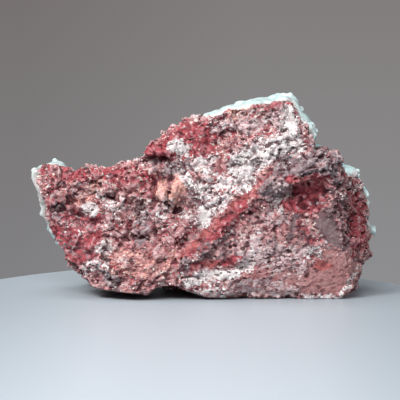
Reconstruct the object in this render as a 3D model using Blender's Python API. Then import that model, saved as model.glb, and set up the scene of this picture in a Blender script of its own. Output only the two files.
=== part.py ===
"""A hand specimen of hemimorphite: a broken lump of red, iron-stained matrix whose back is
covered by a botryoidal crust of pale blue-green hemimorphite. The crust wraps over the crest,
the left end and parts of the right end, so that its edge shows from the matrix side.

The specimen stands on its natural base. X runs along its length, +Y points to the crusted
side, and the origin is at the middle of its footprint. Run it with
blender --background --python part.py. Lengths are in millimetres until they enter a mesh.
"""

import random

import bmesh
import bpy
import numpy as np
from mathutils import Vector, noise
from mathutils.kdtree import KDTree

MM = 0.001

# The broken slab of matrix lies between these two planes. Its length and height come from OUTLINE.
SLAB_FRONT = -26.0
SLAB_BACK = 23.0

# How finely the rough lump is modelled, and how many triangles each finished solid keeps.
ROUGH_VOXEL = 1.5
FINE_VOXEL = 1.0
MATRIX_TRIANGLES = 4900
CRUST_SKIN_TRIANGLES = 4500
EDGE_ROUNDING_PASSES = 2

# The base is cut level at this height of the outline below.
BASE_LEVEL = 0.2

# The crust stands this far off the matrix.
CRUST_GAP = 0.45

# The crust is this thick between its knobs, and its bed dips this far outside its border.
CRUST_FLOOR = 1.2
BURIED = 2.2

# Each knob is a spherical cap: its footprint radius, and its height as a share of that.
# The knobs are small on the rim, and grow as the bed turns to face +Y between these two slopes.
KNOB_RADIUS = (2.2, 7.6)
KNOB_RISE = (0.42, 0.54)
KNOB_GROWTH = (0.35, 0.85)
KNOB_SPACING = 0.62
KNOB_SEED = 11

# Outline of the matrix seen from the front, as (x, z), clockwise from the left end.
OUTLINE = (
    (-63.3, 44.0), (-62.4, 47.3), (-58.5, 46.8), (-55.3, 49.8), (-52.5, 45.9), (-48.3, 45.6),
    (-39.3, 48.5), (-33.1, 49.1), (-28.3, 49.5), (-26.2, 52.6), (-21.5, 51.4), (-21.8, 55.8),
    (-16.5, 56.9), (-15.7, 62.4), (-11.5, 63.1), (-6.9, 64.4), (-5.0, 69.4), (-0.8, 69.0),
    (0.9, 66.2), (6.4, 65.6), (10.1, 69.3), (15.0, 69.7), (18.5, 71.5), (22.9, 71.8),
    (27.9, 72.0), (31.2, 74.2), (34.3, 73.3), (35.4, 69.9), (37.7, 67.5), (40.1, 63.4),
    (43.2, 60.7), (41.9, 56.3), (46.7, 53.7), (49.8, 56.0), (49.9, 52.9), (50.2, 49.5),
    (51.6, 47.0), (54.8, 46.7), (57.3, 45.4), (60.3, 45.7), (61.5, 44.8), (60.8, 43.0),
    (60.7, 41.4), (62.1, 38.3), (63.3, 34.7), (65.4, 30.9), (62.2, 28.0), (64.7, 23.6),
    (64.3, 17.4), (64.9, 13.9), (62.0, 11.7), (61.1, 10.9), (60.0, 8.5), (59.4, 3.4),
    (55.6, 0.8), (50.9, -0.2), (24.0, -0.2), (5.4, -0.2), (-1.6, 1.5), (-5.4, 1.4),
    (-7.8, 2.8), (-8.7, 6.0), (-11.7, 4.6), (-16.7, 4.9), (-22.1, -0.8), (-27.5, -0.8),
    (-32.5, -0.8), (-36.5, 0.8), (-42.0, 4.3), (-46.0, 8.0), (-49.7, 12.3), (-52.0, 15.5),
    (-52.6, 19.8), (-55.1, 20.2), (-57.0, 24.5), (-59.1, 29.1), (-59.8, 33.9), (-61.2, 38.7),
)

# Broken faces that trim the lump: outward normal, a point on the face, and the x range it cuts.
EVERYWHERE = (-99.0, 99.0)
FACETS = (
    ("upper left face", (-0.18, -0.94, 0.29), (10.0, -23.0, 28.0), EVERYWHERE),
    ("lower right face", (0.07, -0.99, -0.06), (10.0, -23.0, 28.0), EVERYWHERE),
    ("left underside", (-0.10, -0.12, -0.98), (-27.0, -3.0, 0.2), (-99.0, -12.0)),
    ("right shoulder", (0.85, -0.52, 0.10), (51.8, -20.5, 38.0), EVERYWHERE),
    ("right heel", (0.74, -0.54, -0.40), (59.0, -18.0, 6.0), EVERYWHERE),
    ("saddle back", (0.0, 0.60, 0.80), (-32.0, 0.0, 50.5), (-46.0, -21.0)),
    ("crest slope back", (-0.25, 0.62, 0.74), (-10.0, 1.5, 66.0), (-22.0, 1.0)),
    ("crest back", (0.05, 0.80, 0.60), (20.0, 7.0, 70.0), (0.0, 99.0)),
    ("left end back", (-0.42, 0.90, 0.10), (-52.0, 12.0, 34.0), (-99.0, -20.0)),
    ("right end back", (0.52, 0.85, 0.08), (55.0, 12.0, 30.0), (20.0, 99.0)),
    ("base back", (0.0, 0.74, -0.67), (0.0, 19.0, 4.0), EVERYWHERE),
    ("base front", (0.0, -0.80, -0.60), (15.0, -21.0, 1.6), (-10.0, 99.0)),
)

# Forms that stand out of the front or sink into it: from (x, z), to (x, z), radius, height.
FRONT_FORMS = (
    ("crimson lump", (-17.0, 57.0), (-14.0, 56.0), 6.5, 4.0),
    ("crevice under the crimson lump", (-21.5, 51.2), (-9.5, 51.8), 2.1, -2.8),
    ("knuckle by the crevice", (-19.0, 46.5), (-18.5, 46.0), 3.4, 2.6),
    ("pale spur", (-9.0, 58.0), (-8.0, 57.0), 3.6, 1.8),
    ("orange lump", (-13.0, 41.0), (-10.5, 42.0), 4.6, 3.4),
    ("pit under the orange lump", (-12.0, 35.2), (-8.6, 34.4), 2.5, -3.6),
    ("pit above the orange lump", (-9.6, 47.8), (-8.6, 48.4), 2.2, -2.6),
    ("dark hollow", (-24.0, 33.0), (-20.5, 27.0), 4.6, -2.6),
    ("slit in the left face", (-28.0, 23.6), (-21.5, 22.2), 2.2, -3.0),
    ("hollow by the vein", (-7.4, 21.2), (-2.6, 25.0), 2.9, -3.2),
    ("grey ledge", (25.0, 41.5), (48.0, 54.5), 5.6, 2.8),
    ("crimson cavity", (34.0, 38.5), (43.5, 41.0), 6.2, -3.6),
    ("cavity floor knob", (39.0, 38.0), (40.0, 38.5), 2.4, 1.4),
    ("vein ridge", (-3.0, 14.5), (24.0, 41.0), 2.6, 1.5),
    ("trough under the vein", (5.0, 15.5), (26.0, 35.0), 4.4, -0.9),
    ("lower red groove", (4.0, 10.5), (16.5, 13.0), 2.2, -1.4),
    ("pale bench", (-1.0, 6.0), (18.0, 9.0), 4.0, 1.4),
    ("undercut at the foot", (18.0, 1.0), (36.0, 0.8), 3.4, -2.0),
    ("upper terrace", (0.0, 64.0), (27.0, 70.0), 4.4, 1.6),
    ("step below the terrace", (-2.0, 55.0), (9.0, 60.5), 2.4, -1.4),
    ("pit in the crest", (4.5, 62.8), (5.0, 63.0), 2.2, -1.6),
    ("pale shoulder", (16.0, 53.0), (28.0, 60.0), 5.4, 1.5),
    ("left terrace", (-55.0, 45.5), (-30.0, 47.0), 4.0, 1.5),
    ("left groove", (-52.0, 27.5), (-40.0, 25.5), 2.4, -2.0),
    ("left pit", (-44.2, 38.8), (-43.4, 38.4), 2.2, -2.4),
    ("left dark pit", (-55.0, 33.8), (-53.6, 33.8), 2.4, -2.0),
    ("left lower boss", (-34.0, 12.0), (-28.0, 14.0), 5.0, 1.8),
    ("right edge rib", (51.0, 54.0), (53.0, 20.0), 3.0, 0.8),
    ("right end hollow", (57.0, 27.0), (58.5, 36.0), 4.0, -2.0),
)

# Crags over the whole lump: wavelength and height. They are weaker under the crust, and on the
# rim this share of them bites inwards while nothing stands out.
LUMP_NOISE = ((19.0, 1.2), (9.0, 1.2), (4.6, 0.9))
HIDDEN_NOISE_SHARE = 0.45
RIM_BITE = 1.5

# Random shallow breaks: how many, the box of places they are thrown at, their radius, depth and
# tilt, and how quickly they run out towards their edge.
CHIP_COUNT = 75
CHIP_BOX = ((-66.0, 66.0), (-30.0, 26.0), (0.0, 76.0))
CHIP_RADIUS = (4.0, 9.0)
CHIP_DEPTH = (0.4, 1.2)
CHIP_TILT = 0.3
CHIP_DISHING = 2.5
CHIP_SEED = 5

# Smooth broken faces on the front, where crags and breaks are weak: centre (x, z) and reach.
SMOOTH_FACES = (
    ("smooth pink face", (40.0, 11.0), 17.0),
    ("smooth mauve face", (44.0, 25.0), 10.0),
    ("lower middle face", (24.0, 9.0), 9.0),
)
SMOOTH_SHARE = 0.3

# Where the crust's border runs: it covers what lies behind y, by stretch of the rim.
CRUST_BORDER = (
    ("crest", (24.0, 71.0), 21.0, -8.5),
    ("left foot of the crest", (5.0, 70.0), 6.0, -4.0),
    ("right of the crest", (41.0, 63.0), 8.0, -10.0),
    ("left end", (-62.0, 42.0), 12.0, -4.0),
    ("left end foot", (-57.0, 28.0), 9.0, -2.0),
    ("left crown", (-57.0, 50.0), 6.5, -5.0),
    ("right knob", (55.5, 48.0), 6.5, -7.0),
    ("right rim", (65.0, 36.0), 7.0, 3.0),
    ("right rim foot", (65.0, 24.5), 4.5, 3.0),
)
CRUST_BORDER_ELSEWHERE = 11.0
CRUST_LOWEST = 6.5

# How far the border wanders, as wavelength and reach.
BORDER_WANDER = ((17.0, 2.2), (6.0, 1.3), (2.8, 0.8))

# Knobs that stand on the rim: place, footprint radius and height.
RIM_KNOBS = (
    ("left tip", (-63.5, 0.0, 46.5), 4.2, 1.7),
    ("left crown", (-54.0, -1.0, 50.5), 3.4, 1.7),
    ("crest bead", (5.0, -1.0, 70.5), 3.2, 1.2),
    ("crest lobe", (18.0, 0.0, 73.5), 4.6, 1.5),
    ("apex", (31.0, 0.0, 75.0), 4.6, 2.2),
    ("below the apex", (37.0, -2.0, 70.0), 3.6, 1.5),
    ("right flank", (44.0, -5.0, 60.5), 3.4, 1.6),
    ("right knob", (55.5, -1.0, 48.5), 3.8, 1.9),
    ("right rim", (62.5, 6.0, 40.0), 3.6, 1.4),
)


def clear_scene():
    for obj in list(bpy.data.objects):
        bpy.data.objects.remove(obj)


def smoothstep(low, high, value):
    share = np.clip((value - low) / (high - low), 0.0, 1.0)
    return share * share * (3.0 - 2.0 * share)


def new_object(name, bm):
    mesh = bpy.data.meshes.new(name)
    bm.to_mesh(mesh)
    bm.free()
    obj = bpy.data.objects.new(name, mesh)
    bpy.context.collection.objects.link(obj)
    return obj


def apply_modifiers(obj):
    """The object keeps the shape its modifiers give, and loses the modifiers."""
    graph = bpy.context.evaluated_depsgraph_get()
    mesh = bpy.data.meshes.new_from_object(obj.evaluated_get(graph))
    obj.modifiers.clear()
    obj.data = mesh


def points_of(obj):
    """Vertex positions in millimetres."""
    points = np.empty(len(obj.data.vertices) * 3)
    obj.data.vertices.foreach_get("co", points)
    return points.reshape(-1, 3) / MM


def normals_of(obj):
    normals = np.empty(len(obj.data.vertices) * 3)
    obj.data.vertex_normals.foreach_get("vector", normals)
    return normals.reshape(-1, 3)


def set_points(obj, points):
    obj.data.vertices.foreach_set("co", (points * MM).ravel())
    obj.data.update()


def voxel_remesh(obj, voxel):
    remesh = obj.modifiers.new("Remesh", "REMESH")
    remesh.mode = "VOXEL"
    remesh.voxel_size = voxel * MM
    apply_modifiers(obj)


def decimate(obj, triangles):
    """Collapses edges until the mesh has about this many triangles."""
    obj.data.calc_loop_triangles()
    collapse = obj.modifiers.new("Decimate", "DECIMATE")
    collapse.ratio = triangles / len(obj.data.loop_triangles)
    collapse.use_collapse_triangulate = True
    apply_modifiers(obj)


def soften(obj, passes):
    smooth = obj.modifiers.new("Smooth", "SMOOTH")
    smooth.factor = 0.5
    smooth.iterations = passes
    apply_modifiers(obj)


def keep_largest_body(obj):
    """Drops loose crumbs beside the main body."""
    bm = bmesh.new()
    bm.from_mesh(obj.data)
    bodies, seen = [], set()
    for start in bm.verts:
        if start in seen:
            continue
        body, todo = {start}, [start]
        while todo:
            for edge in todo.pop().link_edges:
                for vert in edge.verts:
                    if vert not in body:
                        body.add(vert)
                        todo.append(vert)
        seen |= body
        bodies.append(body)
    biggest = max(bodies, key=len)
    bmesh.ops.delete(bm, geom=[v for v in bm.verts if v not in biggest], context="VERTS")
    bm.to_mesh(obj.data)
    bm.free()


def slab_of_outline():
    """The front outline pulled back into a straight-sided slab."""
    bm = bmesh.new()
    corners = [bm.verts.new((x * MM, SLAB_FRONT * MM, z * MM)) for x, z in OUTLINE]
    face = bm.faces.new(corners)
    pulled = bmesh.ops.extrude_face_region(bm, geom=[face])["geom"]
    moved = [item for item in pulled if isinstance(item, bmesh.types.BMVert)]
    bmesh.ops.translate(bm, vec=(0.0, (SLAB_BACK - SLAB_FRONT) * MM, 0.0), verts=moved)
    bmesh.ops.recalc_face_normals(bm, faces=bm.faces)
    return new_object("matrix", bm)


def trim_to_facets(points):
    """Pushes every point that stands proud of a broken face back onto it."""
    for _, normal, on_face, (x_low, x_high) in FACETS:
        normal = np.array(normal) / np.linalg.norm(normal)
        proud = np.maximum((points - np.array(on_face)) @ normal, 0.0)
        x = points[:, 0]
        share = smoothstep(x_low - 3.0, x_low + 3.0, x) * smoothstep(-x_high - 3.0, -x_high + 3.0, -x)
        points -= (proud * share)[:, None] * normal
    return points


def distance_to_stroke(x, z, start, end):
    """Distance in the front plane from each (x, z) to the stroke between two points."""
    start, end = np.array(start), np.array(end)
    along = end - start
    share = ((x - start[0]) * along[0] + (z - start[1]) * along[1]) / max(along @ along, 1e-9)
    share = np.clip(share, 0.0, 1.0)
    return np.hypot(x - start[0] - share * along[0], z - start[1] - share * along[1])


def add_front_forms(points, normals):
    """Raises the lumps and ledges of the front, and sinks its pits and grooves."""
    facing = smoothstep(0.05, 0.55, -normals[:, 1])
    rise = np.zeros(len(points))
    for _, start, end, radius, height in FRONT_FORMS:
        distance = distance_to_stroke(points[:, 0], points[:, 2], start, end)
        rise += height * (1.0 - smoothstep(0.35 * radius, radius, distance))
    return points + (rise * facing)[:, None] * normals


def noise_at(points, wavelength, shift):
    """Gradient noise for each point, from about -1 to 1."""
    offset = Vector((shift, 2.0 * shift, 3.0 * shift))
    return np.array([noise.noise(Vector(p) / wavelength + offset) for p in points])


def roughness_share(points):
    """Full crags on the bare matrix, weaker ones on the smooth faces and under the crust."""
    bare = 1.0 - smoothstep(6.0, 12.0, points[:, 1])
    share = HIDDEN_NOISE_SHARE + (1.0 - HIDDEN_NOISE_SHARE) * bare
    for _, centre, reach in SMOOTH_FACES:
        distance = np.hypot(points[:, 0] - centre[0], points[:, 2] - centre[1])
        near = (1.0 - smoothstep(0.7 * reach, 1.2 * reach, distance)) * (points[:, 1] < -8.0)
        share = share + (SMOOTH_SHARE - share) * near
    return share


def add_crags(points, normals):
    """Lumps and hollows. On the rim they only bite inwards, so that the outline stays."""
    rise = np.zeros(len(points))
    for index, (wavelength, height) in enumerate(LUMP_NOISE):
        wave = noise_at(points, wavelength, 7.0 + index)
        rise += height * np.sign(wave) * np.abs(wave) ** 0.7
    on_rim = 1.0 - smoothstep(0.35, 0.75, np.abs(normals[:, 1]))
    rise += (-RIM_BITE * np.abs(rise) - rise) * on_rim
    return points + (rise * roughness_share(points))[:, None] * normals


def chip(points, normals):
    """Knocks small flat breaks into the lump wherever a random place in its box lands on it."""
    rng = random.Random(CHIP_SEED)
    for _ in range(CHIP_COUNT):
        place = np.array([rng.uniform(low, high) for low, high in CHIP_BOX])
        reach = rng.uniform(*CHIP_RADIUS)
        depth = rng.uniform(*CHIP_DEPTH)
        tilt = np.array([rng.uniform(-CHIP_TILT, CHIP_TILT) for _ in range(3)])
        centre = points[np.argmin(np.linalg.norm(points - place, axis=1))]
        near = np.linalg.norm(points - centre, axis=1) < reach
        normal = normals[near].mean(axis=0) + tilt
        normal /= np.linalg.norm(normal)
        inward = 1.0 - CHIP_DISHING * (np.linalg.norm(points[near] - centre, axis=1) / reach) ** 2
        above = (points[near] - centre) @ normal + depth * inward * roughness_share(points[near])
        points[near] -= np.maximum(above, 0.0)[:, None] * normal
    return points


def flatten_base(obj):
    """Cuts the lump off level, caps the cut, and stands it on z = 0."""
    bm = bmesh.new()
    bm.from_mesh(obj.data)
    level = BASE_LEVEL * MM
    everything = bm.verts[:] + bm.edges[:] + bm.faces[:]
    bmesh.ops.bisect_plane(
        bm, geom=everything, plane_co=(0.0, 0.0, level), plane_no=(0.0, 0.0, 1.0), clear_inner=True
    )
    open_edges = [edge for edge in bm.edges if edge.is_boundary]
    bmesh.ops.holes_fill(bm, edges=open_edges)
    bmesh.ops.triangulate(bm, faces=bm.faces)
    bmesh.ops.translate(bm, vec=(0.0, 0.0, -level), verts=bm.verts)
    bmesh.ops.recalc_face_normals(bm, faces=bm.faces)
    bm.to_mesh(obj.data)
    bm.free()


def build_matrix():
    """Returns the finished matrix, and a fine copy of it for the crust to grow on."""
    matrix = slab_of_outline()
    voxel_remesh(matrix, ROUGH_VOXEL)
    set_points(matrix, trim_to_facets(points_of(matrix)))
    soften(matrix, EDGE_ROUNDING_PASSES)
    voxel_remesh(matrix, FINE_VOXEL)
    set_points(matrix, add_front_forms(points_of(matrix), normals_of(matrix)))
    set_points(matrix, chip(points_of(matrix), normals_of(matrix)))
    set_points(matrix, add_crags(points_of(matrix), normals_of(matrix)))
    voxel_remesh(matrix, FINE_VOXEL)
    keep_largest_body(matrix)
    fine = matrix.copy()
    fine.data = matrix.data.copy()
    fine.name = "crust_bed"
    bpy.context.collection.objects.link(fine)
    soften(matrix, 1)
    decimate(matrix, MATRIX_TRIANGLES)
    flatten_base(matrix)
    keep_largest_body(matrix)
    set_points(fine, points_of(fine) - np.array((0.0, 0.0, BASE_LEVEL)))
    return matrix, fine


def crust_cover(points):
    """How deep inside the crusted area each point lies, in millimetres, negative outside it."""
    border = np.full(len(points), CRUST_BORDER_ELSEWHERE)
    for _, centre, reach, y in CRUST_BORDER:
        distance = np.hypot(points[:, 0] - centre[0], points[:, 2] - centre[1])
        share = 1.0 - smoothstep(0.6 * reach, 1.3 * reach, distance)
        border = border + (y - border) * share
    wander = np.zeros(len(points))
    for index, (wavelength, reach) in enumerate(BORDER_WANDER):
        wander += reach * noise_at(points, wavelength, 31.0 + 6.0 * index)
    return np.minimum(points[:, 1] - border, points[:, 2] - CRUST_LOWEST) + wander


def scatter_knobs(points, normals, cover):
    """Knobs on the crusted area as (centre, footprint radius, height), none too close together."""
    rng = random.Random(KNOB_SEED)
    order = [int(i) for i in np.flatnonzero(cover > 0.8)]
    rng.shuffle(order)
    smallest, largest = KNOB_RADIUS
    knobs = []
    for _, place, radius, height in RIM_KNOBS:
        nearest = int(np.argmin(np.linalg.norm(points - np.array(place), axis=1)))
        knobs.append((points[nearest], radius, height))
    for index in order:
        centre = points[index]
        growth = smoothstep(*KNOB_GROWTH, normals[index, 1])
        radius = smallest + (largest - smallest) * growth * rng.random() ** 1.3
        if all(
            np.linalg.norm(centre - other) > KNOB_SPACING * (radius + other_radius)
            for other, other_radius, _ in knobs
        ):
            knobs.append((centre, radius, radius * rng.uniform(*KNOB_RISE)))
    return knobs


def knob_height(points, knobs):
    """Height of the rounded knobs above the bed at each point."""
    tree = KDTree(len(knobs))
    for index, knob in enumerate(knobs):
        tree.insert(Vector(knob[0]), index)
    tree.balance()
    rise = np.zeros(len(points))
    for row, point in enumerate(points):
        for _, index, distance in tree.find_range(Vector(point), KNOB_RADIUS[1]):
            _, radius, cap = knobs[index]
            if distance < radius:
                sphere = (radius**2 + cap**2) / (2.0 * cap)
                rise[row] = max(rise[row], (sphere**2 - distance**2) ** 0.5 - sphere + cap)
    return CRUST_FLOOR + rise


def build_crust(matrix, bed):
    """Swells the bed into knobs where the crust lies, then cuts the matrix out of it."""
    points, normals = points_of(bed), normals_of(bed)
    cover = crust_cover(points)
    knobs = scatter_knobs(points, normals, cover)
    inside = smoothstep(-0.6, 0.9, cover)
    height = knob_height(points, knobs) * inside - BURIED * (1.0 - inside)
    bed.name = "hemimorphite_crust"
    set_points(bed, points + height[:, None] * normals)
    voxel_remesh(bed, FINE_VOXEL)
    decimate(bed, CRUST_SKIN_TRIANGLES)

    cutter = matrix.copy()
    cutter.data = matrix.data.copy()
    bpy.context.collection.objects.link(cutter)
    set_points(cutter, points_of(cutter) + CRUST_GAP * normals_of(cutter))
    cut = bed.modifiers.new("Cut", "BOOLEAN")
    cut.operation = "DIFFERENCE"
    cut.use_self = True
    cut.object = cutter
    apply_modifiers(bed)
    bpy.data.objects.remove(cutter)
    keep_largest_body(bed)
    return bed


def centre_on_base(objects):
    """Moves the specimen so that the origin is at the middle of its footprint."""
    every = np.concatenate([points_of(obj) for obj in objects])
    middle = (every.min(axis=0) + every.max(axis=0)) / 2.0
    for obj in objects:
        set_points(obj, points_of(obj) - np.array((middle[0], middle[1], 0.0)))


def paint(obj, name, colour, roughness):
    material = bpy.data.materials.new(name)
    material.use_nodes = True
    shader = material.node_tree.nodes["Principled BSDF"]
    shader.inputs["Base Color"].default_value = (*colour, 1.0)
    shader.inputs["Roughness"].default_value = roughness
    shader.inputs["Metallic"].default_value = 0.0
    obj.data.materials.clear()
    obj.data.materials.append(material)


clear_scene()
matrix, crust_bed = build_matrix()
crust = build_crust(matrix, crust_bed)
centre_on_base((matrix, crust))
paint(matrix, "iron_stained_matrix", (0.36, 0.15, 0.15), 0.85)
paint(crust, "hemimorphite", (0.62, 0.84, 0.83), 0.35)
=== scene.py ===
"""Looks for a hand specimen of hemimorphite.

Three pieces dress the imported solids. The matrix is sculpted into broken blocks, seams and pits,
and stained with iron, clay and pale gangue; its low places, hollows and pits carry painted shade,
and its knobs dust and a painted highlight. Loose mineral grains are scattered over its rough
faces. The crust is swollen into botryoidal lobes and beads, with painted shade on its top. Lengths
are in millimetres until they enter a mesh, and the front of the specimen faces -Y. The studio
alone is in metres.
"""

import math
import random
from types import SimpleNamespace

import bmesh
import bpy
import numpy as np
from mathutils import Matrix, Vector, noise
from mathutils.bvhtree import BVHTree
from mathutils.kdtree import KDTree


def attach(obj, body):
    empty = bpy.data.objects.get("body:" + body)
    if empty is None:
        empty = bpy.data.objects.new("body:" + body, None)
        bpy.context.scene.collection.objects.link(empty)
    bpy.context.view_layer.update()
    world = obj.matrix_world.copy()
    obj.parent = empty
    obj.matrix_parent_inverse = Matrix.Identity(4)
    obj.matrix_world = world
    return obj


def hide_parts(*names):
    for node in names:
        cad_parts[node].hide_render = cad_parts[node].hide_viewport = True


MM = 0.001

# How finely the two main pieces are meshed, how many triangles each may keep, and how often the
# facets of their solids are smoothed. Corners closer than the weld are one.
MATRIX_VOXEL = 0.44
CRUST_VOXEL = 0.42
MATRIX_TRIANGLES = 198000
CRUST_TRIANGLES = 190000
FACET_SMOOTHING = 7
BEAD_SMOOTHING = 3
WELD = 0.001

# How readily edges collapse where the surface is seen and where it is hidden, and how far off
# the other solid may be and still cover a point.
SEEN_WEIGHT = 0.02
HIDDEN_WEIGHT = 1.0
HIDDEN_FACTOR = 10.0
COVER_REACH = 6.0

# Relief of the matrix. Blocks: cell size, height and depth of the seams. Swells: wavelength and
# height. Crevices: wavelength, width and depth. Warp: how noise bends the cells.
BLOCKS = ((6.4, 1.6, 0.55), (3.0, 0.7, 0.35), (1.5, 0.25, 0.12))
BLOCK_TILT = 1.6
BLOCK_EDGE = 0.12
SEAM_WIDTH = 0.11
SWELLS = ((11.0, 0.5), (4.2, 0.35))
CREVICES = ((7.5, 0.055, 1.0), (3.6, 0.06, 0.65))
CELL_WARP = (3.4, 0.9)

# The share of that relief that is left in the calmer places of the matrix.
SMOOTH_RELIEF = 0.12
FLAT_RELIEF = 0.38
BASE_RELIEF = 0.15
UNDERSIDE_RELIEF = 0.2
COVERED_RELIEF = 0.3
COVERED_SINKING = 0.4

# Where the zones of the matrix fade in: by the lean of the surface, and by its place.
FRONT_LEAN = (-0.15, 0.25)
FRONT_DEPTH = (6.0, -2.0)
BASE_FADE = (0.3, 2.0)
UNDERSIDE_LEAN = (0.2, 0.7)
UNDERSIDE_HEIGHT = (12.0, 4.0)

# Pits thrown over the matrix: how many, their radius, their depth as a share of the radius, how
# much rarer the large ones are, how round their bowls, and how shallow those on calm faces.
PIT_COUNT = 2600
PIT_RADIUS = (0.4, 1.15)
PIT_DEPTH = (0.6, 1.1)
PIT_RARITY = 2.2
PIT_BOWL = 0.6
CALM_PIT_DEPTH = 0.5
PIT_WARP = (1.5, 0.7)
PIT_SEED = 23

# Holes and lumps placed one by one: depth or height, and where along its reach each fades out.
# Noise makes the holes ragged: its wavelength, mean and swing.
NAMED_PIT_DEPTH = 1.9
NAMED_LUMP_HEIGHT = 1.2
HOLLOW_EDGE = (0.3, 1.5)
LUMP_EDGE = (0.1, 1.2)
RAGGED = (1.3, 0.6, 1.7)

# How the edges of the strokes wander, as wavelength and reach, and where along their reach they
# fade out.
STROKE_WANDER = ((8.0, 1.8), (2.6, 0.9))
STROKE_EDGE = (0.55, 1.35)

# Directions that turn a cell's centre into four draws of its own, and how fast they turn.
CELL_HASH = np.array([
    (12.99, 39.35, 73.16, 27.17), (78.23, 11.14, 52.24, 61.80), (37.72, 83.16, 9.15, 45.16),
])
HASH_SPEED = 4375.85

# Where each use of the noise looks, so that no two share a field.
FIELD = {
    "cell warp": 3.0, "blocks": 11.0, "swells": 20.0, "crevices": 24.0, "pit warp": 30.0,
    "ragged": 33.0, "strokes": 40.0, "wild stains": 60.0, "lobe warp": 70.0, "lobes": 80.0,
    "grains": 90.0, "drift": 100.0,
}
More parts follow.
